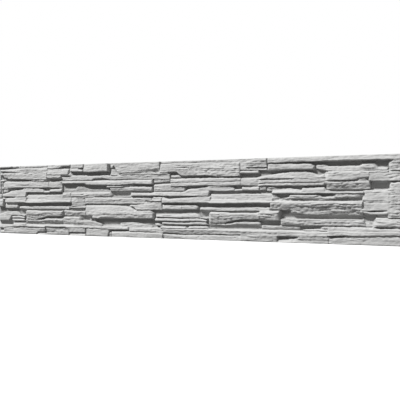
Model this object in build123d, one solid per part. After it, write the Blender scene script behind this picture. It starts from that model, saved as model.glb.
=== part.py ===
from build123d import *

import os
from dataclasses import dataclass, field
from math import cos, hypot, radians, sin, tan

# Driving sizes of the panel, in millimetres and degrees
panel_length = 1830.0
panel_height = 305.0
panel_thickness = 50.0
relief_depth = 22.0
mould_draft = 7.0
stone_arris = 1.3
top_bevel_width = 6.0
top_bevel_depth = 6.0
root_depth = 8.0
back_arris = 4.0

# The stones are laid out on a drawing of this size and stretched to the panel
drawn_length = 1830.0
drawn_height = 305.0
drawn_relief = 22.0
liner_repeat = 938.0

# A stone's bevel takes at most this share of its height, and a left side this share
# of the bevel that a top side has; a side shorter than the last figure loses its bevel
bevel_limit = 0.42
left_bevel_share = 0.55
least_side = 1.0

# The front of the bed the stones stand on, seen from the middle of the thickness
front_y = -panel_thickness / 2
bed_y = front_y + relief_depth
trim_margin = 15.0


@dataclass(frozen=True)
class Chip:
    """A face split off along a line drawn on the stone.

    It falls away to the left of the line, or to its right if the slope is negative."""

    start: tuple
    end: tuple
    slope: float


@dataclass(frozen=True)
class Stone:
    """A stone of the relief: how far its head and foot stand out, and its outline.

    The outline is drawn from the left end and the bottom of the panel."""

    head: float
    foot: float
    outline: list
    chips: list = field(default_factory=list)


# Stones of the mould liner that come twice along the panel
repeated_stones = [
    Stone(8, 15, [(28, 168), (28, 180), (66, 188), (78, 195), (122, 199), (168, 204), (272, 204),
                  (281, 195), (279, 187), (175, 187), (172, 167)]),
    Stone(8, 12, [(178, 147), (178, 176), (300, 177), (386, 177), (435, 176), (435, 144)]),
    Stone(14, 20, [(176, 140), (180, 155), (288, 156), (300, 149), (435, 149), (435, 142), (300, 141)]),
    Stone(11, 12, [(44, 116), (44, 134), (112, 134), (121, 129), (125, 121), (118, 115)]),
    Stone(9, 10, [(129, 113), (131, 124), (240, 128), (424, 127), (424, 111), (190, 111)]),
    Stone(6, 11, [(48, 84), (48, 99), (112, 101), (141, 88), (168, 86), (166, 79), (130, 84)]),
    Stone(11, 9, [(86, 70), (84, 81), (128, 82), (164, 76), (160, 69)]),
    Stone(12, 10, [(90, 57), (86, 67), (158, 66), (166, 57)]),
    Stone(19, 9, [(168, 64), (170, 96), (180, 106), (388, 106), (386, 82), (302, 80), (250, 71),
                  (236, 64)],
          [Chip((177, 60), (184, 106), 34)]),
    Stone(13, 4, [(168, 45), (168, 66), (262, 66), (290, 71), (388, 71), (388, 45)],
          [Chip((388, 64), (168, 62), 11), Chip((176, 44), (178, 66), 34)]),
    Stone(8, 12, [(279, 186), (279, 193), (314, 193), (314, 186)]),
    Stone(12, 15, [(300, 251), (302, 260), (379, 261), (381, 251)]),
    Stone(8, 13, [(302, 206), (302, 234), (366, 235), (382, 240), (382, 206)],
          [Chip((348, 212), (378, 232), -14)]),
    Stone(10, 14, [(312, 188), (309, 200), (382, 202), (382, 188)]),
]

# Left part of the panel, from the left end to the first butt joint
left_stones = [
    Stone(4, 5, [(-8, 210), (-8, 303), (13, 303), (12, 210)]),
    Stone(6, 8, [(-8, 184), (-8, 214), (14, 214), (14, 184)]),
    Stone(9, 9, [(128, 296), (130, 315), (298, 315), (298, 296)]),
    Stone(12, 12, [(-8, 299), (-8, 315), (84, 315), (84, 300)]),
    Stone(9, 9, [(84, 303), (84, 315), (120, 315), (120, 302)]),
    Stone(12, 13, [(12, 282), (14, 291), (90, 292), (128, 295), (301, 296), (301, 279), (128, 276)]),
    Stone(11, 19, [(12, 264), (14, 279), (105, 277), (128, 281), (301, 286), (301, 242), (200, 243),
                   (110, 247), (62, 249), (58, 262)],
          [Chip((200, 268), (120, 281), 7)]),
    Stone(9, 12, [(36, 254), (34, 264), (60, 266), (62, 253)]),
    Stone(9, 13, [(12, 236), (12, 243), (36, 244), (42, 238)]),
    Stone(9, 8, [(17, 181), (17, 238), (27, 238), (29, 181)]),
    Stone(6, 6, [(26, 196), (26, 235), (40, 235), (40, 196)]),
    Stone(10, 14, [(34, 208), (36, 236), (120, 237), (206, 238), (290, 236), (307, 235), (307, 207)]),
    Stone(8, 9, [(30, 186), (30, 206), (62, 206), (66, 197), (60, 187)]),
    Stone(7, 8, [(-8, 156), (-8, 182), (20, 180), (22, 163)]),
    Stone(12, 18, [(-8, 123), (-8, 158), (36, 158), (36, 123)]),
    Stone(13, 18, [(48, 141), (46, 162), (100, 164), (178, 166), (178, 141)]),
    Stone(15, 15, [(30, 156), (30, 162), (50, 162), (50, 156)]),
    Stone(7, 14, [(-8, 58), (-8, 84), (14, 91), (46, 101), (60, 98), (52, 88), (84, 84), (78, 70),
                  (70, 60)],
          [Chip((8, 82), (74, 86), 12)]),
    Stone(13, 10, [(36, 5), (34, 23), (4, 25), (6, 41), (90, 41), (92, 30), (288, 31), (289, 14),
                   (242, 12), (230, 5)]),
    Stone(12, 14, [(88, 31), (96, 49), (172, 49), (174, 44), (289, 43), (289, 31)]),
    Stone(9, 11, [(14, 6), (14, 15), (38, 15), (50, 8)]),
]

# Upper middle part, between the two repeats of the liner
upper_middle_stones = [
    Stone(10, 13, [(298, 289), (298, 315), (430, 315), (428, 299), (384, 298), (362, 289)]),
    Stone(10, 17, [(300, 262), (300, 292), (345, 291), (420, 287), (421, 262), (378, 260)]),
    Stone(7, 5, [(420, 260), (420, 288), (434, 276), (430, 262)]),
    Stone(11, 14, [(430, 288), (430, 315), (500, 315), (500, 290)]),
    Stone(13, 18, [(430, 276), (430, 290), (468, 289), (478, 283), (500, 279), (500, 273), (460, 274)]),
    Stone(12, 20, [(504, 271), (504, 315), (626, 315), (632, 300), (634, 272)],
          [Chip((536, 284), (566, 300), 9)]),
    Stone(9, 12, [(384, 234), (386, 252), (424, 253), (432, 259), (650, 256), (700, 258), (858, 261),
                  (935, 258), (935, 234), (860, 236), (700, 238), (642, 237), (600, 244), (556, 243),
                  (545, 236)],
          [Chip((700, 247), (830, 249), -9)]),
    Stone(15, 17, [(384, 223), (382, 233), (520, 234), (852, 235), (854, 216), (760, 218), (700, 214),
                   (630, 214), (520, 217), (506, 223)]),
    Stone(8, 8, [(855, 221), (855, 238), (935, 238), (935, 224)]),
    Stone(7, 3, [(388, 185), (390, 202), (452, 202), (466, 213), (500, 212), (528, 200), (648, 199),
                 (648, 185)]),
    Stone(11, 13, [(384, 168), (384, 184), (432, 186), (432, 168)]),
    Stone(9, 10, [(430, 167), (430, 186), (640, 187), (650, 178), (660, 167)],
          [Chip((500, 172), (640, 178), -14)]),
    Stone(6, 8, [(640, 166), (640, 173), (740, 170), (744, 165)]),
    Stone(9, 11, [(641, 256), (648, 281), (657, 281), (669, 270), (685, 257)]),
    Stone(8, 8, [(640, 284), (640, 300), (656, 300), (657, 286)]),
    Stone(13, 15, [(684, 263), (658, 299), (658, 315), (888, 315), (888, 263)],
          [Chip((888, 282), (740, 264), 24)]),
    Stone(14, 15, [(624, 205), (624, 213), (700, 214), (712, 206)]),
    Stone(13, 9, [(642, 188), (640, 205), (760, 206), (852, 207), (852, 188)]),
    Stone(10, 13, [(746, 168), (746, 183), (902, 184), (902, 168)]),
    Stone(11, 8, [(856, 186), (856, 214), (900, 217), (935, 217), (1003, 206), (1003, 188)]),
    Stone(9, 13, [(856, 168), (856, 187), (985, 187), (985, 168)]),
]

# Lower middle part, between the two repeats of the liner
lower_middle_stones = [
    Stone(7, 8, [(424, 118), (424, 126), (512, 127), (512, 118)]),
    Stone(9, 11, [(431, 126), (431, 166), (506, 167), (506, 126)],
          [Chip((474, 160), (446, 140), 10)]),
    Stone(9, 10, [(506, 136), (506, 165), (700, 164), (800, 162), (822, 150), (806, 137)],
          [Chip((540, 150), (640, 152), -10), Chip((800, 146), (700, 148), 8)]),
    Stone(11, 3, [(390, 84), (388, 110), (512, 110), (512, 82)]),
    Stone(9, 14, [(390, 73), (390, 80), (480, 81), (514, 76), (512, 70)]),
    Stone(13, 9, [(388, 45), (390, 74), (514, 72), (546, 64), (572, 60), (600, 50), (600, 44)],
          [Chip((470, 56), (580, 46), -14)]),
    Stone(11, 17, [(514, 104), (514, 130), (640, 131), (720, 128), (752, 120), (775, 106)]),
    Stone(16, 23, [(520, 90), (514, 112), (775, 111), (785, 105), (852, 104), (858, 98), (858, 78),
                   (600, 76), (540, 78)],
          [Chip((700, 84), (850, 92), -8), Chip((640, 97), (520, 96), 16)]),
    Stone(10, 16, [(776, 103), (786, 111), (842, 111), (852, 103)]),
    Stone(9, 9, [(290, 6), (290, 36), (414, 34), (414, 6)],
          [Chip((300, 30), (372, 14), -12), Chip((372, 14), (410, 30), -10)]),
    Stone(12, 15, [(286, 36), (286, 45), (600, 45), (600, 35), (512, 34), (416, 33)]),
    Stone(14, 14, [(414, 4), (414, 35), (424, 35), (424, 4)]),
    Stone(13, 13, [(422, 14), (422, 36), (512, 36), (512, 14)]),
    Stone(10, 12, [(422, 2), (422, 12), (512, 12), (512, 2)]),
    Stone(13, 13, [(516, 5), (516, 34), (640, 33), (638, 22), (632, 5)]),
    Stone(8, 8, [(630, 5), (636, 21), (646, 20), (646, 5)]),
    Stone(12, 15, [(575, 33), (575, 45), (640, 46), (732, 43), (736, 31), (640, 29)]),
    Stone(4, 11, [(600, 45), (600, 49), (680, 58), (740, 63), (766, 62), (800, 57), (850, 47), (850, 38),
                  (735, 38)],
          [Chip((740, 52), (690, 46), 12)]),
    Stone(11, 11, [(736, 24), (736, 42), (868, 42), (868, 24)]),
    Stone(13, 12, [(648, 3), (648, 22), (730, 24), (903, 23), (903, 3)]),
    Stone(10, 11, [(866, 20), (850, 44), (903, 44), (903, 20)]),
    Stone(11, 14, [(774, 112), (758, 124), (770, 131), (822, 148), (898, 147), (898, 113)],
          [Chip((836, 130), (776, 118), -12), Chip((896, 134), (846, 122), 12)]),
    Stone(12, 14, [(824, 147), (846, 151), (858, 164), (898, 163), (898, 146)]),
    Stone(8, 8, [(800, 150), (800, 165), (852, 164), (844, 150)]),
    Stone(11, 14, [(872, 50), (864, 58), (880, 60), (896, 50)]),
]

# Right part, where the liner comes round again, without the repeated stones
second_repeat_stones = [
    Stone(8, 8, [(890, 296), (890, 315), (1268, 315), (1268, 294), (1236, 292), (1000, 297)]),
    Stone(13, 19, [(885, 261), (887, 296), (1000, 297), (1240, 294), (1242, 262), (1242, 241),
                   (1132, 243), (1100, 247), (986, 248), (968, 262)],
          [Chip((1200, 286), (990, 288), 6), Chip((1180, 258), (1000, 270), -5),
           Chip((895, 258), (896, 300), 34)]),
    Stone(7, 9, [(936, 240), (936, 252), (972, 252), (984, 240)]),
    Stone(12, 13, [(936, 220), (936, 236), (1140, 238), (1228, 237), (1245, 234), (1245, 222)]),
    Stone(12, 15, [(936, 207), (936, 223), (1245, 225), (1245, 207)]),
    Stone(12, 18, [(898, 141), (898, 166), (926, 156), (960, 159), (1050, 166), (1118, 168),
                   (1118, 141)]),
    Stone(12, 13, [(898, 116), (898, 133), (990, 133), (990, 116)]),
    Stone(7, 11, [(866, 84), (866, 95), (900, 98), (992, 99), (992, 84)],
          [Chip((880, 90), (960, 92), -7)]),
    Stone(9, 12, [(864, 69), (864, 81), (1026, 81), (1026, 70), (920, 69)]),
    Stone(7, 10, [(896, 57), (896, 68), (1030, 66), (1030, 57)]),
    Stone(9, 16, [(890, 41), (890, 50), (1004, 50), (1012, 42)]),
    Stone(11, 12, [(1012, 42), (1022, 51), (1104, 52), (1108, 42)]),
    Stone(10, 16, [(896, 34), (896, 42), (1100, 43), (1389, 45), (1580, 45), (1580, 36), (1389, 36)]),
    Stone(15, 10, [(898, 22), (898, 40), (1245, 42), (1245, 24), (1090, 22), (1060, 19)]),
    Stone(11, 11, [(898, 3), (898, 20), (960, 18), (1060, 19), (1090, 22), (1248, 22), (1245, 3)],
          [Chip((948, 16), (904, 24), 14)]),
    Stone(14, 15, [(1268, 273), (1266, 315), (1350, 315), (1350, 273)],
          [Chip((1268, 284), (1300, 302), 12), Chip((1345, 300), (1310, 292), 10)]),
    Stone(8, 11, [(1238, 263), (1236, 296), (1268, 296), (1268, 270), (1350, 268), (1350, 262)]),
    Stone(14, 19, [(1353, 287), (1352, 315), (1840, 315), (1840, 288)]),
    Stone(15, 17, [(1353, 262), (1355, 286), (1400, 285), (1520, 281), (1532, 272), (1528, 262)]),
    Stone(10, 16, [(1317, 229), (1321, 239), (1400, 249), (1450, 256), (1500, 255), (1526, 249),
                   (1548, 238), (1566, 244), (1574, 229)],
          [Chip((1325, 226), (1330, 244), 34)]),
    Stone(13, 15, [(1316, 214), (1317, 229), (1574, 229), (1572, 215)],
          [Chip((1324, 212), (1325, 231), 34)]),
    Stone(12, 15, [(1315, 204), (1316, 214), (1440, 216), (1568, 216), (1566, 204)],
          [Chip((1323, 202), (1324, 217), 34)]),
    Stone(9, 10, [(1320, 188), (1320, 203), (1346, 203), (1348, 188)]),
    Stone(4, 8, [(1348, 186), (1350, 197), (1440, 195), (1478, 189), (1480, 186)]),
    Stone(12, 14, [(1478, 182), (1486, 197), (1566, 197), (1576, 182)]),
    Stone(12, 17, [(1368, 176), (1372, 187), (1574, 187), (1704, 186), (1706, 176)]),
    Stone(12, 8, [(1366, 149), (1368, 177), (1382, 175), (1402, 158), (1430, 162), (1450, 171),
                  (1540, 172), (1560, 165), (1622, 168), (1650, 176), (1704, 177), (1704, 166),
                  (1640, 162), (1560, 151), (1530, 149)],
          [Chip((1430, 161), (1560, 157), -14)]),
    Stone(9, 6, [(1430, 150), (1428, 162), (1470, 160), (1540, 156), (1540, 150)]),
]

# Right part below and the right end
right_end_stones = [
    Stone(25, 9, [(1364, 118), (1364, 148), (1704, 148), (1702, 100), (1500, 101), (1480, 104),
                  (1442, 116)],
          [Chip((1560, 130), (1700, 134), -7), Chip((1640, 108), (1500, 122), 8)]),
    Stone(23, 12, [(1318, 77), (1319, 106), (1326, 113), (1402, 113), (1402, 77)],
          [Chip((1325, 74), (1326, 115), 34), Chip((1330, 98), (1396, 82), -9)]),
    Stone(10, 5, [(1324, 46), (1326, 64), (1400, 66), (1478, 62), (1478, 46)]),
    Stone(11, 15, [(1404, 80), (1404, 91), (1560, 92), (1704, 94), (1706, 81)]),
    Stone(15, 13, [(1404, 63), (1404, 84), (1706, 85), (1716, 63)],
          [Chip((1420, 72), (1510, 74), -7)]),
    Stone(15, 12, [(1240, 4), (1240, 42), (1391, 42), (1391, 4)]),
    Stone(15, 15, [(1388, 21), (1386, 42), (1580, 42), (1580, 24)]),
    Stone(11, 12, [(1386, 2), (1388, 11), (1450, 14), (1530, 20), (1584, 21), (1584, 2)]),
    Stone(7, 10, [(1478, 44), (1500, 49), (1560, 52), (1580, 55), (1580, 44)]),
    Stone(7, 13, [(1536, 262), (1536, 275), (1572, 276), (1580, 272), (1690, 271), (1702, 276),
                  (1738, 276), (1752, 264), (1786, 262), (1786, 252), (1580, 252)]),
    Stone(10, 18, [(1582, 246), (1578, 255), (1790, 254), (1790, 246)]),
    Stone(17, 19, [(1568, 221), (1563, 212), (1564, 240), (1574, 249), (1727, 249), (1726, 230),
                   (1690, 226), (1670, 221)],
          [Chip((1580, 210), (1586, 252), 36)]),
    Stone(14, 19, [(1722, 217), (1722, 250), (1840, 251), (1840, 216)],
          [Chip((1840, 240), (1740, 233), 6)]),
    Stone(17, 6, [(1571, 189), (1570, 218), (1680, 219), (1724, 217), (1728, 208), (1728, 189)],
          [Chip((1579, 187), (1580, 222), 34)]),
    Stone(13, 15, [(1790, 250), (1788, 281), (1840, 284), (1840, 250)],
          [Chip((1800, 256), (1796, 284), 34)]),
    Stone(15, 17, [(1788, 150), (1792, 212), (1840, 214), (1840, 160), (1828, 151)],
          [Chip((1797, 148), (1799, 214), 34)]),
    Stone(16, 17, [(1786, 93), (1788, 150), (1840, 157), (1840, 93)],
          [Chip((1797, 92), (1798, 152), 34)]),
    Stone(9, 12, [(1700, 150), (1700, 187), (1788, 187), (1788, 150)],
          [Chip((1712, 170), (1740, 182), 12)]),
    Stone(11, 14, [(1700, 117), (1700, 147), (1788, 147), (1788, 117)]),
    Stone(12, 13, [(1708, 104), (1708, 113), (1786, 114), (1786, 104)]),
    Stone(12, 13, [(1742, 82), (1746, 93), (1840, 93), (1840, 82)]),
    Stone(17, 14, [(1731, 62), (1739, 87), (1840, 87), (1840, 62)],
          [Chip((1747, 58), (1754, 92), 34)]),
    Stone(7, 9, [(1706, 62), (1704, 84), (1722, 80), (1738, 63)]),
    Stone(13, 14, [(1578, 45), (1578, 58), (1604, 61), (1660, 63), (1738, 62), (1748, 58), (1840, 58),
                   (1840, 45)]),
    Stone(14, 18, [(1578, 28), (1578, 51), (1840, 51), (1840, 34), (1640, 30)]),
    Stone(13, 12, [(1582, 4), (1582, 20), (1640, 28), (1720, 31), (1840, 33), (1840, 4)]),
]


def shifted(stones, distance):
    """The same stones, moved along the panel."""
    moved = []
    for stone in stones:
        outline = [(x + distance, z) for x, z in stone.outline]
        chips = [
            Chip(
                (chip.start[0] + distance, chip.start[1]),
                (chip.end[0] + distance, chip.end[1]),
                chip.slope,
            )
            for chip in stone.chips
        ]
        moved.append(Stone(stone.head, stone.foot, outline, chips))
    return moved


def on_panel(point):
    """A point of the drawing, stretched to the panel and measured from its middle."""
    x, z = point
    return x * panel_length / drawn_length - panel_length / 2, z * panel_height / drawn_height


def clockwise(points):
    """The points in clockwise order, seen from the front."""
    doubled_area = 0.0
    for (x1, z1), (x2, z2) in zip(points, points[1:] + points[:1]):
        doubled_area += x1 * z2 - x2 * z1
    return points if doubled_area < 0 else points[::-1]


def inward_normals(points):
    """The inward direction of each side of a clockwise outline, seen from the front."""
    normals = []
    for (x1, z1), (x2, z2) in zip(points, points[1:] + points[:1]):
        length = hypot(x2 - x1, z2 - z1)
        normals.append(((z2 - z1) / length, (x1 - x2) / length))
    return normals


def corner_step(side_in, side_out):
    """The step from a corner that moves both its sides, each (normal x, normal z, move)."""
    ax, az, a = side_in
    bx, bz, b = side_out
    area = ax * bz - az * bx
    return (a * bz - b * az) / area, (ax * b - bx * a) / area


def bevel_share(normal):
    """How much of the full bevel a side has: all on top, half on the left, else none."""
    return min(1.0, max(0.0, -normal[1]) + left_bevel_share * max(0.0, normal[0]))


def face_outline(outline, normals, width):
    """The outline of the face, with the sides bevelled by up to this width."""
    corners = []
    for i, (x, z) in enumerate(outline):
        sides = []
        for normal in (normals[i - 1], normals[i]):
            inset = stone_arris + (width - stone_arris) * bevel_share(normal)
            sides.append((normal[0], normal[1], inset))
        step = corner_step(*sides)
        corners.append((x + step[0], z + step[1]))
    return corners


def keeps_shape(outline, inner):
    """Whether each side of the inner outline still runs the way of the outer one."""
    for i in range(len(outline)):
        run = (outline[i][0] - outline[i - 1][0], outline[i][1] - outline[i - 1][1])
        inner_run = (inner[i][0] - inner[i - 1][0], inner[i][1] - inner[i - 1][1])
        if run[0] * inner_run[0] + run[1] * inner_run[1] < least_side:
            return False
    return True


def stone_body(stone, depth_scale):
    """One stone with drafted sides, a bevelled top and its split-off chips."""
    outline = clockwise([on_panel(point) for point in stone.outline])
    normals = inward_normals(outline)
    heights = [z for x, z in outline]
    low, high = min(heights), max(heights)
    rise = (stone.head - stone.foot) * depth_scale / (high - low)
    spread = tan(radians(mould_draft))

    def stands_out(z):
        """How far the face stands out of the bed at this height."""
        return stone.foot * depth_scale + (z - low) * rise

    # A thin stone has a smaller bevel
    width = max(stone_arris, min(top_bevel_width, bevel_limit * (high - low)))
    face_ring = face_outline(outline, normals, width)
    while width > stone_arris and not keeps_shape(outline, face_ring):
        width = max(stone_arris, width * bevel_limit)
        face_ring = face_outline(outline, normals, width)
    drop = top_bevel_depth * width / top_bevel_width

    # The drawn outline is the shoulder under the bevel, and the root is wider by the draft
    root, shoulder, face = [], [], []
    for i, (x, z) in enumerate(outline):
        depth = stands_out(z) - drop + root_depth
        sides = [(nx, nz + spread * rise, -spread * depth) for nx, nz in (normals[i - 1], normals[i])]
        step = corner_step(*sides)
        root.append(at_depth(x + step[0], z + step[1], -root_depth))
        shoulder.append(at_depth(x, z, stands_out(z) - drop))
        face_x, face_z = face_ring[i]
        face.append(at_depth(face_x, face_z, stands_out(face_z)))

    sides = [polygon_face(root), polygon_face(face)]
    for inner, outer in ((root, shoulder), (shoulder, face)):
        for i in range(len(outline)):
            j = (i + 1) % len(outline)
            sides.append(polygon_face([inner[i], inner[j], outer[j], outer[i]]))
    body = Solid(Shell(sides))

    for chip in stone.chips:
        body = split(body, bisect_by=chip_plane(chip, stands_out, rise), keep=Keep.BOTTOM)
    return body


def at_depth(x, z, out):
    """The point in front of the bed by this much."""
    return Vector(x, bed_y - out, z)


def polygon_face(corners):
    """A flat face through the corners."""
    return Face(Wire.make_polygon(corners, close=True))


def chip_plane(chip, stands_out, rise):
    """The plane of a chip: it holds the line drawn on the face and dips to one side."""
    (x1, z1), (x2, z2) = on_panel(chip.start), on_panel(chip.end)
    start = at_depth(x1, z1, stands_out(z1))
    end = at_depth(x2, z2, stands_out(z2))
    along = (end - start).normalized()
    outward = Vector(0, -1, -rise).normalized()
    leftward = outward.cross(along)
    normal = outward * cos(radians(chip.slope)) + leftward * sin(radians(chip.slope))
    return Plane(origin=start, x_dir=along, z_dir=normal)


def relief_stones():
    """Every stone of the panel as a solid."""
    stones = repeated_stones + shifted(repeated_stones, liner_repeat)
    stones += left_stones + upper_middle_stones + lower_middle_stones
    stones += second_repeat_stones + right_end_stones
    depth_scale = relief_depth / drawn_relief
    return [stone_body(stone, depth_scale) for stone in stones]


def slab():
    """The body behind the stones, wider than the panel until it is trimmed."""
    thickness = panel_thickness - relief_depth
    block = Box(
        panel_length + 2 * trim_margin,
        thickness + trim_margin,
        panel_height + 2 * trim_margin,
        align=(Align.CENTER, Align.MIN, Align.CENTER),
    )
    return Pos(0, bed_y, panel_height / 2) * block


def trimmed_outside():
    """The outside of the finished panel, with the arris taken off round its back."""
    outside = Pos(0, 0, panel_height / 2) * Box(panel_length, panel_thickness, panel_height)
    back_edges = outside.faces().sort_by(Axis.Y)[-1].edges()
    return chamfer(back_edges, back_arris)


def fence_panel():
    """The whole panel, cast as one piece."""
    rough = slab().fuse(*relief_stones())
    return trimmed_outside().intersect(rough)


os.makedirs("parts", exist_ok=True)
panel = fence_panel().solids()[0]
export_step(panel, "parts/panel.step")
print("panel:", len(panel.faces()), "faces,", round(panel.volume), "cubic millimetres")
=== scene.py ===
"""Dresses the cast concrete fence panel and sets it up in a plain studio."""
import logging
import math
from dataclasses import dataclass, field
from enum import Enum

import bmesh
import bpy
from mathutils import Matrix, Vector, noise


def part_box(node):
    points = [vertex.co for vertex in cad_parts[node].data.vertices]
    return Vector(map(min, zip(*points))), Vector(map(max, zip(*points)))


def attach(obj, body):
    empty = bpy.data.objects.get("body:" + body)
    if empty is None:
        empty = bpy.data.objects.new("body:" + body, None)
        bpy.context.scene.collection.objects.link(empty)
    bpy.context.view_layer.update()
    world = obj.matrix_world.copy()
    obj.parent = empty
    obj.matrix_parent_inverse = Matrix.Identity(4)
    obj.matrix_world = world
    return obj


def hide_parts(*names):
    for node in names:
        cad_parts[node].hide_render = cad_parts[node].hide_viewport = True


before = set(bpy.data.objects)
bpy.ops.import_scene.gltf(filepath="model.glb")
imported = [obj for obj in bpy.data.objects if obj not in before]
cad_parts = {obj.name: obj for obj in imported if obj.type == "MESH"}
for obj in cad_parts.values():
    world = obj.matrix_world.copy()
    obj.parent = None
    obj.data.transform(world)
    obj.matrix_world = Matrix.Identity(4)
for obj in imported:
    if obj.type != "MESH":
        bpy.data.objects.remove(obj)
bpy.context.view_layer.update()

log = logging.getLogger("fence_panel")

Pair = tuple[float, float]
Triple = tuple[float, float, float]
Colour = tuple[float, float, float, float]

WHITE = (1, 1, 1, 1)
MM = 1000  # millimetres in a metre
BED_Y = -0.003  # the bed that the stones stand on, in metres from the panel's middle
FADE_ALONG = 16.0  # millimetres over which a patch fades in along the panel
FADE_UP = 4.0  # millimetres over which it fades in up the panel


class Along(Enum):
    """The directions that faces are sliced in, by the index of their coordinate."""

    LENGTH = 0
    HEIGHT = 2


class Maths(Enum):
    """The operations that the shader groups use, by Blender's names for them."""

    ADD = "ADD"
    MULTIPLY = "MULTIPLY"
    MULTIPLY_ADD = "MULTIPLY_ADD"


def shader_group(
    name: str, inputs: dict[str, float], output: str
) -> tuple[bpy.types.NodeTree, bpy.types.Node, bpy.types.Node]:
    """Starts a shader node group that reads a position and gives a number.

    Args:
        name: The group's name.
        inputs: The default value of each number input by its name.
        output: The name of its output.

    Returns:
        The group's node tree, its input node and its output node.
    """
    tree = bpy.data.node_groups.new(name, "ShaderNodeTree")
    tree.interface.new_socket("Position", in_out="INPUT", socket_type="NodeSocketVector")
    for label, default in inputs.items():
        socket = tree.interface.new_socket(label, in_out="INPUT", socket_type="NodeSocketFloat")
        socket.default_value = default
    tree.interface.new_socket(output, in_out="OUTPUT", socket_type="NodeSocketFloat")
    return tree, tree.nodes.new("NodeGroupInput"), tree.nodes.new("NodeGroupOutput")


def place_group(
    tree: bpy.types.NodeTree,
    group: bpy.types.NodeTree,
    position: bpy.types.NodeSocket,
    **values: float,
) -> bpy.types.Node:
    """Places a group in a material.

    Args:
        tree: The material's node tree.
        group: The group.
        position: The coordinates it reads.
        values: The values of its number inputs by name.

    Returns:
        The group's node.
    """
    node = tree.nodes.new("ShaderNodeGroup")
    node.node_tree = group
    tree.links.new(position, node.inputs["Position"])
    for label, value in values.items():
        node.inputs[label].default_value = value
    return node


def maths(
    tree: bpy.types.NodeTree, operation: Maths, *values: bpy.types.NodeSocket
) -> bpy.types.NodeSocket:
    """Adds a maths node over some values.

    Args:
        tree: The node tree the node goes into.
        operation: What the node does with them.
        values: The values, in the order the operation takes them.

    Returns:
        The node's value.
    """
    node = tree.nodes.new("ShaderNodeMath")
    node.operation = operation.value
    for value, socket in zip(values, node.inputs):
        tree.links.new(value, socket)
    return node.outputs["Value"]


def ranged(
    tree: bpy.types.NodeTree, value: bpy.types.NodeSocket, span: Pair, to: Pair
) -> bpy.types.NodeSocket:
    """Stretches a value from one range to another and clamps it.

    Args:
        tree: The node tree the node goes into.
        value: The value.
        span: The range it comes in.
        to: The new range.

    Returns:
        The stretched value.
    """
    node = tree.nodes.new("ShaderNodeMapRange")
    tree.links.new(value, node.inputs["Value"])
    node.inputs["From Min"].default_value, node.inputs["From Max"].default_value = span
    node.inputs["To Min"].default_value, node.inputs["To Max"].default_value = to
    return node.outputs["Result"]


def colour_mix(
    tree: bpy.types.NodeTree, over: Colour, share: bpy.types.NodeSocket
) -> bpy.types.Node:
    """Adds a mix that lays a colour over the one its input A gets.

    Args:
        tree: The node tree the node goes into.
        over: The colour laid on top.
        share: How much of that colour shows.

    Returns:
        The mix node.
    """
    node = tree.nodes.new("ShaderNodeMix")
    node.data_type = "RGBA"
    node.inputs["B"].default_value = over
    tree.links.new(share, node.inputs["Factor"])
    return node


def split_by_camera(
    tree: bpy.types.NodeTree,
    seen: bpy.types.NodeSocket,
    unseen: bpy.types.NodeSocket,
    surface: bpy.types.NodeSocket,
) -> None:
    """Shows one shader to the camera and another to every other ray.

    Args:
        tree: The node tree the nodes go into.
        seen: The shader that the camera sees.
        unseen: The shader that lights the rest of the scene.
        surface: The socket that takes the two together.
    """
    path = tree.nodes.new("ShaderNodeLightPath")
    mix = tree.nodes.new("ShaderNodeMixShader")
    tree.links.new(path.outputs["Is Camera Ray"], mix.inputs["Fac"])
    tree.links.new(unseen, mix.inputs[1])
    tree.links.new(seen, mix.inputs[2])
    tree.links.new(mix.outputs["Shader"], surface)


@dataclass(frozen=True)
class ShaderNoise:
    """A shader noise: its waves to the metre along x, y and z, its octaves and its usual span."""

    waves: Triple
    detail: float
    rough: float = 0.55
    span: Pair = (0.3, 0.7)

    def add(
        self, tree: bpy.types.NodeTree, position: bpy.types.NodeSocket, to: Pair | None = None
    ) -> bpy.types.NodeSocket:
        """Adds the noise to a node tree.

        Args:
            tree: The node tree.
            position: The coordinates it reads, in metres.
            to: The range that its usual span is stretched to, if it is.

        Returns:
            The noise's value.
        """
        mapping = tree.nodes.new("ShaderNodeMapping")
        mapping.inputs["Scale"].default_value = self.waves
        tree.links.new(position, mapping.inputs["Vector"])
        node = tree.nodes.new("ShaderNodeTexNoise")
        node.inputs["Scale"].default_value = 1.0
        node.inputs["Detail"].default_value = self.detail
        node.inputs["Roughness"].default_value = self.rough
        tree.links.new(mapping.outputs["Vector"], node.inputs["Vector"])
        return ranged(tree, node.outputs["Fac"], self.span, to) if to else node.outputs["Fac"]


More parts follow.
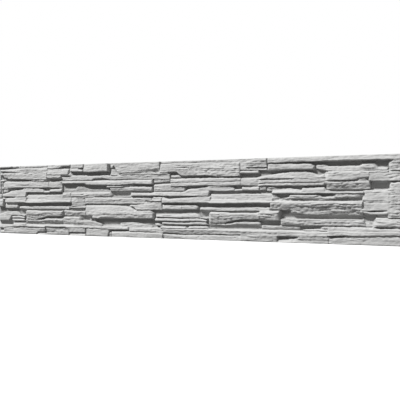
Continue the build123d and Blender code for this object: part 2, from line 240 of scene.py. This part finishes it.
@dataclass
class SkinGroups:
    """The shared shader groups of every concrete finish."""

    mottle: bpy.types.NodeTree = field(init=False)
    skin: bpy.types.NodeTree = field(init=False)
    painted_shade: bpy.types.NodeTree = field(init=False)
    clouds: ShaderNoise = ShaderNoise((11, 11, 26), 3)
    specks: ShaderNoise = ShaderNoise((260, 260, 420), 3, 0.7)
    cloud_share: float = 0.62
    strata: ShaderNoise = ShaderNoise((90, 150, 300), 5, 0.65)
    sand: ShaderNoise = ShaderNoise((900, 900, 900), 2, 0.6, (0.2, 0.8))
    sand_height: float = 0.22
    # The painted shade in the joints: how patchy it is, the depth where it begins and where it
    # stops behind the bed.
    patches: ShaderNoise = ShaderNoise((60, 60, 150), 3)
    least_shade: float = 0.7
    unshaded_y: float = -0.009
    behind: Pair = (BED_Y + 0.0005, BED_Y + 0.002)

    def __post_init__(self) -> None:
        """Builds the groups."""
        self.mottle = self.build_mottle()
        self.skin = self.build_skin()
        self.painted_shade = self.build_painted_shade()

    def build_mottle(self) -> bpy.types.NodeTree:
        """Cement that dried lighter and darker in clouds and specks."""
        tree, inside, outside = shader_group("Cement mottle", {}, "Lightness")
        position = inside.outputs["Position"]
        clouds = self.clouds.add(tree, position, (0.0, self.cloud_share))
        specks = self.specks.add(tree, position, (0.0, 1 - self.cloud_share))
        tree.links.new(maths(tree, Maths.ADD, clouds, specks), outside.inputs["Lightness"])
        return tree

    def build_skin(self) -> bpy.types.NodeTree:
        """Fine strata of the split stone and the sand in the skin, as heights."""
        tree, inside, outside = shader_group("Stone skin", {"Strata": 1.0, "Grain": 1.0}, "Height")
        position = inside.outputs["Position"]
        strata = self.strata.add(tree, position)
        layered = maths(tree, Maths.MULTIPLY, strata, inside.outputs["Strata"])
        sand = self.sand.add(tree, position, (0.0, self.sand_height))
        gritty = maths(tree, Maths.MULTIPLY_ADD, sand, inside.outputs["Grain"], layered)
        tree.links.new(gritty, outside.inputs["Height"])
        return tree

    def build_painted_shade(self) -> bpy.types.NodeTree:
        """Painted shade: darker cement down in the joints between the stones, darkest on the bed,
        where shade falls.
        """
        tree, inside, outside = shader_group("Joint painted shade", {}, "Painted shade")
        parts = tree.nodes.new("ShaderNodeSeparateXYZ")
        tree.links.new(inside.outputs["Position"], parts.inputs["Vector"])
        depth = ranged(tree, parts.outputs["Y"], (self.unshaded_y, BED_Y), (0.0, 1.0))
        behind = ranged(tree, parts.outputs["Y"], self.behind, (1.0, 0.0))
        patchy = self.patches.add(tree, inside.outputs["Position"], (self.least_shade, 1.0))
        shaded_depth = maths(tree, Maths.MULTIPLY, depth, patchy)
        tree.links.new(maths(tree, Maths.MULTIPLY, shaded_depth, behind), outside.inputs["Painted shade"])
        return tree


@dataclass(frozen=True)
class Concrete:
    """A dry cast concrete: its colours, its roughness and how coarse its skin is."""

    name: str
    light: Colour = (0.50, 0.50, 0.495, 1)
    dark: Colour = (0.38, 0.38, 0.375, 1)
    # The colour of the painted shade down in the joints between the stones.
    shade_colour: Colour = (0.26, 0.26, 0.255, 1)
    roughness: float = 0.9
    roughness_spread: float = 0.06
    specular: float = 0.25
    strata: float = 1.0
    grain: float = 1.0
    bump_distance: float = 0.0018
    bump_strength: float = 0.8

    def material(self, groups: SkinGroups) -> bpy.types.Material:
        """Builds the material.

        Args:
            groups: The shared groups for mottle, grain and the painted shade in the joints.

        Returns:
            The finished material.
        """
        made = bpy.data.materials.new(self.name)
        made.use_nodes = True
        tree = made.node_tree
        tree.nodes.clear()
        out = tree.nodes.new("ShaderNodeOutputMaterial")
        shader = tree.nodes.new("ShaderNodeBsdfPrincipled")
        shader.inputs["Specular IOR Level"].default_value = self.specular
        tree.links.new(shader.outputs["BSDF"], out.inputs["Surface"])
        place = tree.nodes.new("ShaderNodeTexCoord").outputs["Object"]

        lightness = place_group(tree, groups.mottle, place).outputs["Lightness"]
        # Painted shade: the colour darkens towards the bed in the joints between the stones.
        painted_shade = place_group(tree, groups.painted_shade, place).outputs["Painted shade"]
        colour = colour_mix(tree, self.light, lightness)
        colour.inputs["A"].default_value = self.dark
        shaded_colour = colour_mix(tree, self.shade_colour, painted_shade)
        tree.links.new(colour.outputs["Result"], shaded_colour.inputs["A"])
        tree.links.new(shaded_colour.outputs["Result"], shader.inputs["Base Color"])
        spread = (self.roughness + self.roughness_spread, self.roughness - self.roughness_spread)
        roughness = ranged(tree, lightness, (0, 1), spread)
        tree.links.new(roughness, shader.inputs["Roughness"])
        tree.links.new(self.bumped(tree, groups, place), shader.inputs["Normal"])
        return made

    def bumped(
        self, tree: bpy.types.NodeTree, groups: SkinGroups, place: bpy.types.NodeSocket
    ) -> bpy.types.NodeSocket:
        """Bumps the surface by the heights of its skin.

        Args:
            tree: The material's node tree.
            groups: The shared groups.
            place: The coordinates the skin reads.

        Returns:
            The bumped normal.
        """
        skin = place_group(tree, groups.skin, place, Strata=self.strata, Grain=self.grain)
        bump = tree.nodes.new("ShaderNodeBump")
        bump.inputs["Distance"].default_value = self.bump_distance
        bump.inputs["Strength"].default_value = self.bump_strength
        tree.links.new(skin.outputs["Height"], bump.inputs["Height"])
        return bump.outputs["Normal"]


@dataclass(frozen=True)
class Waves:
    """A noise over the panel's front: its waves to the metre along it and up it, and its seed."""

    along: float
    up: float
    seed: float

    def at(self, place: Vector) -> float:
        """The noise at a place, about -1 to 1."""
        return noise.noise(Vector((place.x * self.along, place.z * self.up, self.seed)))


@dataclass(frozen=True)
class SplitFace:
    """The split, layered face of the stones, as a height over the flat one.

    Lengths are metres.
    """

    broad_depth: float = 0.0016
    broad: Waves = Waves(17, 90, 0.5)
    grain_depth: float = 0.0018
    grain: Waves = Waves(120, 130, 4.2)
    layer_depth: float = 0.0022
    layer_height: float = 0.0085
    layer_warp: float = 0.9
    layer_tilt: float = 0.3
    warp: Waves = Waves(11, 14, 2.6)
    torn: Waves = Waves(30, 60, 9.4)
    torn_from: float = -0.1
    torn_over: float = 0.35

    def height(self, at: Vector) -> float:
        """How far the face stands out at a point.

        Args:
            at: The point on the stone.

        Returns:
            The height, in metres.
        """
        broad = self.broad.at(at)
        layers = at.z / self.layer_height + self.layer_warp * self.warp.at(at)
        layer = (layers + self.layer_tilt * broad) % 1.0
        torn = max(0.0, min(1.0, (self.torn.at(at) - self.torn_from) / self.torn_over))
        layered = self.layer_depth * torn * (0.5 - layer)
        return self.broad_depth * broad + self.grain_depth * self.grain.at(at) + layered


@dataclass(frozen=True)
class UnevenEdges:
    """How the stones' edges stray from their straight lines. Lengths are metres."""

    wander: float = 0.0012
    along: Waves = Waves(70, 70, 3.1)
    up: Waves = Waves(55, 20, 8.7)
    drift: float = 0.0015
    drift_up: Waves = Waves(14, 9, 5.3)
    hold: float = 0.012

    def shift(self, at: Vector, low: Vector, high: Vector) -> Pair:
        """How far the edges stray at a point, and not at all on the slab's outside.

        Args:
            at: The point on the stone.
            low: The slab's lowest corner.
            high: The slab's highest corner.

        Returns:
            The shift along the panel and the one up it, in metres.
        """
        free_along = min(1.0, (at.x - low.x) / self.hold, (high.x - at.x) / self.hold)
        free_up = min(1.0, (at.z - low.z) / self.hold, (high.z - at.z) / self.hold)
        along = self.along.at(at) * self.wander
        up = self.up.at(at) * self.wander + self.drift_up.at(at) * self.drift
        return along * free_along, up * free_up


@dataclass(frozen=True)
class Crack:
    """A split in a stone's face, from one point to another.

    The points are millimetres from the panel's left end and its bottom edge, and the depth and
    the width are millimetres too.
    """

    start: Pair
    end: Pair
    depth: float = 3.6
    width: float = 2.6


# The cracks that the photograph shows.
STONE_CRACKS = (
    Crack((20, 278), (118, 277), 4.0),
    Crack((428, 109), (512, 110), 5.0, 4.0),
    Crack((745, 183), (850, 183), 6.0, 4.5),
    Crack((405, 246), (442, 243), 4.0, 4.0),
    Crack((515, 41), (572, 39), 4.0, 4.0),
    Crack((640, 278), (690, 276)),
    Crack((692, 55), (730, 54)),
    Crack((760, 143), (800, 143)),
    Crack((40, 12), (92, 11)),
    Crack((755, 133), (820, 137), 6.0, 3.5),
    Crack((1398, 157), (1442, 152), 6.0, 4.0),
    Crack((1438, 156), (1548, 154), 6.0, 4.5),
    Crack((100, 217), (200, 217)),
    Crack((150, 271), (200, 272)),
    Crack((120, 154), (170, 154)),
    Crack((85, 81), (125, 80)),
    Crack((105, 27), (135, 28)),
    Crack((170, 20), (230, 20)),
    Crack((240, 5), (286, 12)),
    Crack((228, 282), (250, 286)),
    Crack((440, 288), (470, 289)),
    Crack((475, 280), (500, 283)),
    Crack((548, 282), (572, 283)),
    Crack((455, 236), (480, 239)),
    Crack((478, 170), (512, 181)),
    Crack((450, 144), (468, 156)),
    Crack((590, 95), (606, 97)),
    Crack((608, 92), (650, 90)),
    Crack((430, 13), (490, 13)),
    Crack((345, 32), (410, 34)),
    Crack((985, 278), (1025, 278), 4.6),
    Crack((1030, 275), (1062, 277)),
    Crack((1030, 297), (1062, 298)),
    Crack((1058, 279), (1086, 285)),
    Crack((1100, 269), (1132, 271)),
    Crack((1138, 280), (1162, 282)),
    Crack((1160, 271), (1187, 271)),
    Crack((1172, 282), (1216, 285)),
    Crack((1145, 244), (1167, 246)),
    Crack((1084, 226), (1102, 228)),
    Crack((1040, 216), (1072, 217)),
    Crack((862, 82), (912, 82)),
    Crack((965, 67), (1070, 67)),
    Crack((1050, 4), (1082, 18)),
    Crack((1205, 9), (1230, 15)),
    Crack((905, 25), (952, 17)),
    Crack((1266, 285), (1282, 288)),
    Crack((1325, 291), (1347, 293)),
    Crack((1325, 227), (1372, 227)),
    Crack((1330, 91), (1352, 93)),
    Crack((1336, 100), (1388, 96)),
    Crack((1444, 134), (1457, 140)),
    Crack((1472, 127), (1518, 129)),
    Crack((1556, 127), (1612, 129)),
    Crack((1640, 134), (1692, 137)),
    Crack((1520, 113), (1600, 118)),
    Crack((1508, 70), (1602, 71)),
    Crack((1548, 83), (1612, 85)),
    Crack((1645, 218), (1667, 220)),
    Crack((1680, 226), (1717, 228)),
    Crack((1702, 174), (1732, 176)),
    Crack((1792, 275), (1812, 277)),
    Crack((1798, 257), (1830, 259)),
    Crack((1585, 4), (1650, 6)),
    Crack((1698, 14), (1717, 16)),
)


@dataclass(frozen=True)
class Patch:
    """A rectangle of the panel's front.

    Its corners are millimetres from the panel's left end and its bottom edge.
    """

    low: Pair
    high: Pair

    def holds(self, x: float, z: float) -> bool:
        """Whether a point that many millimetres along and up is inside."""
        return self.low[0] < x < self.high[0] and self.low[1] < z < self.high[1]

    def share(self, x: float, z: float) -> float:
        """How far inside a point is, from 0 at the patch's sides to 1.

        Args:
            x: The point's millimetres from the panel's left end.
            z: The point's millimetres from the panel's bottom edge.

        Returns:
            The share, which rises faster up the panel than along it.
        """
        along = min(x - self.low[0], self.high[0] - x) / FADE_ALONG
        upward = min(z - self.low[1], self.high[1] - z) / FADE_UP
        return max(0.0, min(1.0, along, upward))


class JointKind(Enum):
    """Whether the mould left a stretch of joint shallower or deeper than the rest."""

    FILLED = "filled"
    OPEN = "open"


@dataclass(frozen=True)
class JointStretch(Patch):
    """A stretch of joint, and how many millimetres its bottom stands off the bed."""

    kind: JointKind
    out: float

    def moves(self, step: float) -> bool:
        """Whether a point is moved by a step, which is under 0 where it leads out of the bed."""
        return (step < 0) == (self.kind is JointKind.FILLED)


# The joints that are lighter or darker in the photograph than the solid's.
JOINT_STRETCHES = (
    JointStretch((686, 253), (936, 264), JointKind.FILLED, 13),
    JointStretch((1788, 274), (1846, 290), JointKind.FILLED, 18),
    JointStretch((1096, 198), (1210, 209), JointKind.FILLED, 11),
    JointStretch((1430, 156), (1552, 173), JointKind.FILLED, 14),
    JointStretch((1456, 11), (1596, 27), JointKind.FILLED, 14),
    JointStretch((144, 198), (262, 210), JointKind.FILLED, 9.5),
    JointStretch((1596, 161), (1706, 178), JointKind.FILLED, 13),
    JointStretch((1676, 216), (1726, 232), JointKind.FILLED, 14),
    JointStretch((96, 160), (184, 172), JointKind.FILLED, 13),
    JointStretch((192, 232), (314, 246), JointKind.FILLED, 13),
    JointStretch((1690, 258), (1752, 277), JointKind.FILLED, 14),
    JointStretch((230, -5), (296, 7), JointKind.FILLED, 12),
    JointStretch((16, 200), (78, 212), JointKind.FILLED, 13),
    JointStretch((284, 244), (392, 262), JointKind.FILLED, 16),
    JointStretch((78, 296), (134, 312), JointKind.FILLED, 11),
    JointStretch((40, 131), (124, 145), JointKind.FILLED, 9),
    JointStretch((1440, 223), (1576, 234), JointKind.FILLED, 14),
    JointStretch((1528, 266), (1580, 278), JointKind.FILLED, 11),
    JointStretch((370, 254), (446, 268), JointKind.FILLED, 12),
    JointStretch((1346, 258), (1534, 266), JointKind.FILLED, 15),
    JointStretch((484, 161), (566, 170), JointKind.FILLED, 9),
    JointStretch((1044, 163), (1122, 171), JointKind.FILLED, 12),
    JointStretch((638, 252), (694, 262), JointKind.FILLED, 11),
    JointStretch((734, 122), (788, 134), JointKind.FILLED, 11),
    JointStretch((1640, 27), (1840, 36), JointKind.FILLED, 13),
    JointStretch((892, 112), (996, 120), JointKind.FILLED, 11),
    JointStretch((374, 162), (438, 175), JointKind.FILLED, 12),
    JointStretch((1548, 205), (1608, 226), JointKind.FILLED, 14),
    JointStretch((1434, 104), (1484, 118), JointKind.FILLED, 12),
    JointStretch((1314, 198), (1352, 206), JointKind.FILLED, 10),
    JointStretch((640, 203), (760, 217), JointKind.FILLED, 9),
    JointStretch((1250, 200), (1320, 207), JointKind.FILLED, 9),
    JointStretch((1176, 20), (1250, 27), JointKind.FILLED, 13),
    JointStretch((1690, 106), (1730, 150), JointKind.FILLED, 15),
    JointStretch((1700, 143), (1800, 153), JointKind.FILLED, 11),
    JointStretch((1772, 104), (1812, 192), JointKind.FILLED, 16),
    JointStretch((1548, 51), (1608, 63), JointKind.FILLED, 12),
    JointStretch((1800, 57), (1852, 69), JointKind.FILLED, 12),
    JointStretch((1346, 192), (1390, 203), JointKind.FILLED, 10),
    JointStretch((1452, 60), (1532, 71), JointKind.FILLED, 12),
    JointStretch((1744, 94), (1804, 107), JointKind.FILLED, 7),
    JointStretch((1400, 83), (1714, 101), JointKind.OPEN, -5),
    JointStretch((1578, 180), (1710, 190), JointKind.OPEN, -5),
    JointStretch((1182, 102), (1318, 113), JointKind.OPEN, 0),
    JointStretch((244, 102), (390, 113), JointKind.OPEN, 0),
    JointStretch((480, 63), (556, 86), JointKind.OPEN, -10),
    JointStretch((596, 43), (698, 62), JointKind.OPEN, -3),
    JointStretch((644, 166), (746, 186), JointKind.OPEN, -7),
    JointStretch((1726, 188), (1794, 216), JointKind.OPEN, -7),
    JointStretch((130, 86), (174, 112), JointKind.OPEN, -10),
    JointStretch((1068, 84), (1112, 112), JointKind.OPEN, -10),
    JointStretch((1704, 78), (1748, 104), JointKind.OPEN, -7),
    JointStretch((592, 66), (864, 79), JointKind.OPEN, 2),
    JointStretch((424, 102), (514, 114), JointKind.OPEN, -3),
    JointStretch((-4, 40), (92, 60), JointKind.OPEN, -5),
    JointStretch((1318, 58), (1406, 76), JointKind.OPEN, -4),
    JointStretch((1114, 174), (1250, 186), JointKind.OPEN, -3),
    JointStretch((1630, 268), (1700, 281), JointKind.OPEN, 3),
)


@dataclass(frozen=True)
class LeaningFace(Patch):
    """A face that leans back more towards its foot, by degrees, or less where they are under 0."""

    lean: float


# The faces whose shade in the photograph the solid's lean doesn't give.
LEANING_FACES = (
    LeaningFace((1096, 44), (1334, 72), 15.0),
    LeaningFace((1306, 76), (1405, 112), -12.0),
    LeaningFace((1440, 92), (1712, 128), -8.0),
    LeaningFace((786, 262), (890, 277), 20.0),
    LeaningFace((168, 44), (388, 64), 6.0),
)


@dataclass(frozen=True)
class RoughStone(Patch):
    """A stone that split more roughly than the rest, by how many times."""

    roughness: float


# The stones that the photograph shows rougher than the rest.
ROUGH_STONES = (
    RoughStone((1364, 98), (1704, 142), 1.6),
    RoughStone((1318, 77), (1402, 108), 1.9),
    RoughStone((1368, 150), (1704, 176), 1.7),
    RoughStone((168, 45), (388, 98), 1.6),
    RoughStone((388, 45), (512, 110), 1.6),
    RoughStone((510, 76), (860, 106), 1.3),
    RoughStone((968, 243), (1240, 290), 1.7),
    RoughStone((12, 242), (301, 288), 1.4),
    RoughStone((1404, 62), (1706, 88), 1.5),
    RoughStone((1578, 188), (1728, 214), 1.6),
    RoughStone((1105, 45), (1320, 100), 1.4),
    RoughStone((1268, 273), (1350, 302), 1.4),
    RoughStone((1740, 62), (1830, 87), 1.6),
    RoughStone((1790, 93), (1830, 284), 1.6),
    RoughStone((290, 6), (414, 34), 1.5),
    RoughStone((4, 4), (290, 40), 1.3),
    RoughStone((1240, 4), (1392, 38), 1.3),
)


@dataclass
class CastPanel:
    """The panel itself: the CAD solid's stones, cut fine enough to carry a split face.

    Lengths are metres.
    """

    name: str = "cast_panel"
    cell_length: float = 0.0046
    cell_height: float = 0.0022
    weld: float = 1e-6
    margin: float = 1e-5
    flat_angle: float = 0.3
    stone_least: float = 0.001
    stone_full: float = 0.006
    foot_height: float = 0.014
    foot_power: float = 2.6
    wear_rounds: int = 1
    wear_share: float = 0.5
    edges: UnevenEdges = UnevenEdges()
    split: SplitFace = SplitFace()
    bed_roughness: float = 0.35
    crack_least: float = 0.003
    crack_taper: float = 0.012
    crack_wave: float = 0.0012
    crack_waves: float = 90
    crack_seed: float = 1.7
    cracks: tuple[Crack, ...] = STONE_CRACKS
    joints: tuple[JointStretch, ...] = JOINT_STRETCHES
    leaning_faces: tuple[LeaningFace, ...] = LEANING_FACES
    rough_stones: tuple[RoughStone, ...] = ROUGH_STONES
    low: Vector = field(init=False)
    high: Vector = field(init=False)

    def __post_init__(self) -> None:
        """Reads the panel's lowest and highest corners from the frame."""
        self.low, self.high = (Vector(corner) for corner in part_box("panel"))

    def build(self) -> bpy.types.Object:
        """Makes the piece's mesh and object.

        Returns:
            The piece, not yet dressed.
        """
        shape = bmesh.new()
        shape.from_mesh(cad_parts["panel"].data)
        bmesh.ops.remove_doubles(shape, verts=shape.verts, dist=self.weld)
        bmesh.ops.dissolve_limit(
            shape,
            angle_limit=math.radians(self.flat_angle),
            verts=shape.verts,
            edges=shape.edges,
            delimit=set(),
        )
        low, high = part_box("panel")
        for along, step in ((Along.HEIGHT, self.cell_height), (Along.LENGTH, self.cell_length)):
            faces = [face for face in shape.faces if self.is_front(face.calc_center_median())]
            self.slice(shape, faces, along, low[along.value], high[along.value], step)
        self.reach_bottom(shape)
        self.shape_joints(shape)
        self.wear_arrises(shape)
        self.lean_faces(shape)
        self.split_stones(shape)
        self.open_cracks(shape)
        bmesh.ops.recalc_face_normals(shape, faces=shape.faces)
        for face in shape.faces:
            face.smooth = True
        mesh = bpy.data.meshes.new(self.name)
        shape.to_mesh(mesh)
        shape.free()
        piece = bpy.data.objects.new(self.name, mesh)
        bpy.context.scene.collection.objects.link(piece)
        return piece

    def is_front(self, at: Vector) -> bool:
        """Whether a point is on the stones or the bed, and not on the slab's outside."""
        inside = self.low.x + self.margin < at.x < self.high.x - self.margin
        inside = inside and self.low.z + self.margin < at.z < self.high.z - self.margin
        return inside and at.y < BED_Y + self.margin

    def place(self, at: Vector) -> Pair:
        """A point's millimetres from the panel's left end and its bottom edge."""
        return (at.x - self.low.x) * MM, (at.z - self.low.z) * MM

    def point(self, place: Pair) -> Vector:
        """The point, in length and height, that lies some millimetres along and up."""
        return Vector((self.low.x + place[0] / MM, self.low.z + place[1] / MM))

    def slice(
        self,
        shape: bmesh.types.BMesh,
        faces: list[bmesh.types.BMFace],
        along: Along,
        low: float,
        high: float,
        step: float,
    ) -> None:
        """Cuts faces into cells by halving them again and again.

        Args:
            shape: The mesh.
            faces: The faces to cut.
            along: The direction the cells follow one another in.
            low: Where the first cell starts.
            high: Where the last cell ends.
            step: A cell's size.
        """
        cells = round((high - low) / step)
        if cells < 2 or not faces:
            return
        middle = low + (high - low) * (cells // 2) / cells
        normal = Vector((0, 0, 0))
        normal[along.value] = 1
        edges = list({edge for face in faces for edge in face.edges})
        verts = list({vert for face in faces for vert in face.verts})
        cut = bmesh.ops.bisect_plane(
            shape,
            geom=faces + edges + verts,
            dist=self.weld,
            plane_co=normal * middle,
            plane_no=normal,
        )
        before, after = [], []
        for item in cut["geom"]:
            if isinstance(item, bmesh.types.BMFace):
                centre = item.calc_center_median()[along.value]
                (before if centre < middle else after).append(item)
        self.slice(shape, before, along, low, middle, step)
        self.slice(shape, after, along, middle, high, step)

    def reach_bottom(self, shape: bmesh.types.BMesh) -> None:
        """Draws the lowest stones' feet down towards the panel's bottom edge."""
        for vert in shape.verts:
            up = (vert.co.z - self.low.z) / self.foot_height
            if vert.co.y < BED_Y - self.stone_least and 0 < up < 1:
                vert.co.z = self.low.z + self.foot_height * up**self.foot_power

    def shape_joints(self, shape: bmesh.types.BMesh) -> None:
        """Makes the filled stretches of joint shallower and the open ones deeper.

        Args:
            shape: The mesh, moved in place.
        """
        for vert in shape.verts:
            if vert.co.y > BED_Y + self.margin:
                continue
            place = self.place(vert.co)
            for joint in self.joints:
                share = joint.share(*place)
                step = BED_Y - joint.out / MM - vert.co.y
                if share > 0 and joint.moves(step):
                    vert.co.y += step * share

    def wear_arrises(self, shape: bmesh.types.BMesh) -> None:
        """Rounds the stones' edges a little and leaves the slab's outside as it is.

        Args:
            shape: The mesh, moved in place.
        """
        worn = [vert for vert in shape.verts if self.is_front(vert.co)]
        for _ in range(self.wear_rounds):
            bmesh.ops.smooth_vert(
                shape,
                verts=worn,
                factor=self.wear_share,
                use_axis_x=False,
                use_axis_y=True,
                use_axis_z=True,
            )

    def lean_faces(self, shape: bmesh.types.BMesh) -> None:
        """Leans some faces back, or forward, towards their feet.

        Args:
            shape: The mesh, moved in place.
        """
        for vert in shape.verts:
            place = self.place(vert.co)
            for face in self.leaning_faces:
                share = face.share(*place)
                if share > 0 and vert.co.y < BED_Y - self.stone_least:
                    drop = (face.high[1] - place[1]) / MM
                    vert.co.y += math.tan(math.radians(face.lean)) * drop * share

    def split_stones(self, shape: bmesh.types.BMesh) -> None:
        """Gives the stones their split, layered faces and uneven edges.

        Args:
            shape: The mesh, moved in place.
        """
        for vert in shape.verts:
            at = vert.co
            if at.y > BED_Y + self.margin:
                continue
            proud = max(0.0, min(1.0, (BED_Y - at.y) / self.stone_full))
            along, up = self.edges.shift(at, self.low, self.high)
            share = self.bed_roughness + (1 - self.bed_roughness) * proud
            out = self.split.height(at) * self.roughness(at) * share
            vert.co = at + Vector((along * proud, -out, up * proud))

    def roughness(self, at: Vector) -> float:
        """How many times rougher than the rest the stone at a point is.

        Args:
            at: The point on the stone.

        Returns:
            The roughness of the last stone in the list that holds the point, or 1.
        """
        place = self.place(at)
        found = 1.0
        for stone in self.rough_stones:
            if stone.holds(*place):
                found = stone.roughness
        return found

    def open_cracks(self, shape: bmesh.types.BMesh) -> None:
        """Opens the cracks in the stones' faces.

        Args:
            shape: The mesh, moved in place.
        """
        proud = [vert for vert in shape.verts if vert.co.y < BED_Y - self.crack_least]
        for crack in self.cracks:
            start, end = self.point(crack.start), self.point(crack.end)
            length = (end - start).length
            along = (end - start) / length
            for vert in proud:
                place = Vector((vert.co.x, vert.co.z)) - start
                run = place.dot(along)
                if not 0 < run < length:
                    continue
                spot = Vector((vert.co.x * self.crack_waves, crack.depth, self.crack_seed))
                wave = self.crack_wave * noise.noise(spot)
                aside = abs(place.cross(along) + wave) / (crack.width / MM)
                if aside < 1:
                    taper = min(1.0, run / self.crack_taper, (length - run) / self.crack_taper)
                    vert.co.y += (1 - aside) * taper * crack.depth / MM

    def dress(self, piece: bpy.types.Object, finish: bpy.types.Material) -> None:
        """Gives the piece its finish and names what it stands for.

        Args:
            piece: The piece.
            finish: The concrete of its stones.
        """
        piece.data.materials.append(finish)
        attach(piece, "root")
        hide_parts("panel")
        log.info("%s: %d faces", piece.name, len(piece.data.polygons))


@dataclass(frozen=True)
class FloorPaint:
    """A pale matt paint, which is dull to all but the camera so it throws little light back."""

    name: str = "floor paint"
    pale: Colour = (0.86, 0.86, 0.86, 1)
    dull: Colour = (0.16, 0.16, 0.16, 1)
    roughness: float = 0.85

    def material(self) -> bpy.types.Material:
        """Builds the material.

        Returns:
            The finished material.
        """
        made = bpy.data.materials.new(self.name)
        made.use_nodes = True
        tree = made.node_tree
        pale = tree.nodes["Principled BSDF"]
        pale.inputs["Base Color"].default_value = self.pale
        pale.inputs["Roughness"].default_value = self.roughness
        dull = tree.nodes.new("ShaderNodeBsdfDiffuse")
        dull.inputs["Color"].default_value = self.dull
        surface = tree.nodes["Material Output"].inputs["Surface"]
        split_by_camera(tree, pale.outputs["BSDF"], dull.outputs["BSDF"], surface)
        return made


@dataclass(frozen=True)
class Lamp:
    """A broad, distant light, which is as bright at both ends of the panel.

    It shines from a place towards the panel, and its softness is degrees across.
    """

    name: str
    place: Triple
    strength: float
    softness: float = 9.0

    def build(self) -> None:
        """Adds the light to the scene."""
        lamp = bpy.data.lights.new(self.name, "SUN")
        lamp.energy = self.strength
        lamp.angle = math.radians(self.softness)
        light = bpy.data.objects.new(self.name, lamp)
        light.location = self.place
        light.rotation_euler = (-Vector(self.place)).to_track_quat("-Z", "Y").to_euler()
        bpy.context.scene.collection.objects.link(light)


@dataclass
class Studio:
    """A pale floor, soft light and the camera of the picture.

    The camera's turn and dip are degrees, and its lens and sensor are millimetres.
    """

    floor_size: float = 30.0
    floor_paint: FloorPaint = FloorPaint()
    key: Lamp = Lamp("key", (-1.7, -2.35, 3.3), 5.2)
    back: Lamp = Lamp("back", (0.3, 4.0, 0.5), 2.0)
    ambient: float = 0.245
    backdrop: float = 1.0
    camera_at: Triple = (1.423, -2.257, 0.1544)
    camera_turn: float = 29.45
    camera_dip: float = 0.042
    lens: float = 60.42
    sensor: float = 36.0

    def build(self) -> None:
        """Sets up the floor, the light and the camera."""
        self.build_floor()
        self.build_sky()
        self.key.build()
        self.back.build()
        self.place_camera()
        bpy.context.scene.view_settings.view_transform = "Standard"
        log.info("studio: floor, sky, key light, back light and camera")

    def build_floor(self) -> None:
        """Lays the floor at the panel's foot."""
        shape = bmesh.new()
        bmesh.ops.create_grid(shape, x_segments=1, y_segments=1, size=self.floor_size / 2)
        mesh = bpy.data.meshes.new("floor")
        shape.to_mesh(mesh)
        shape.free()
        floor = bpy.data.objects.new("floor", mesh)
        bpy.context.scene.collection.objects.link(floor)
        mesh.materials.append(self.floor_paint.material())

    def build_sky(self) -> None:
        """Lights the scene softly from all round and shows white behind the panel."""
        world = bpy.data.worlds.new("studio")
        bpy.context.scene.world = world
        world.use_nodes = True
        tree = world.node_tree
        tree.nodes.clear()
        out = tree.nodes.new("ShaderNodeOutputWorld")
        glows = []
        for strength in (self.backdrop, self.ambient):
            glow = tree.nodes.new("ShaderNodeBackground")
            glow.inputs["Color"].default_value = WHITE
            glow.inputs["Strength"].default_value = strength
            glows.append(glow.outputs["Background"])
        seen, unseen = glows
        split_by_camera(tree, seen, unseen, out.inputs["Surface"])

    def place_camera(self) -> None:
        """Puts the camera where the picture was taken from, held all but level."""
        eye = bpy.data.cameras.new("camera")
        eye.lens = self.lens
        eye.sensor_width = self.sensor
        camera = bpy.data.objects.new("camera", eye)
        camera.matrix_world = (
            Matrix.Translation(self.camera_at)
            @ Matrix.Rotation(math.radians(self.camera_turn), 4, "Z")
            @ Matrix.Rotation(math.radians(90 - self.camera_dip), 4, "X")
        )
        bpy.context.scene.collection.objects.link(camera)
        bpy.context.scene.camera = camera


def main() -> None:
    """Builds the panel and the studio."""
    logging.basicConfig(level=logging.INFO, format="%(message)s")
    groups = SkinGroups()
    stone = Concrete("stone face concrete")
    panel = CastPanel()
    piece = panel.build()
    panel.dress(piece, stone.material(groups))
    Studio().build()


if __name__ == "__main__":
    main()
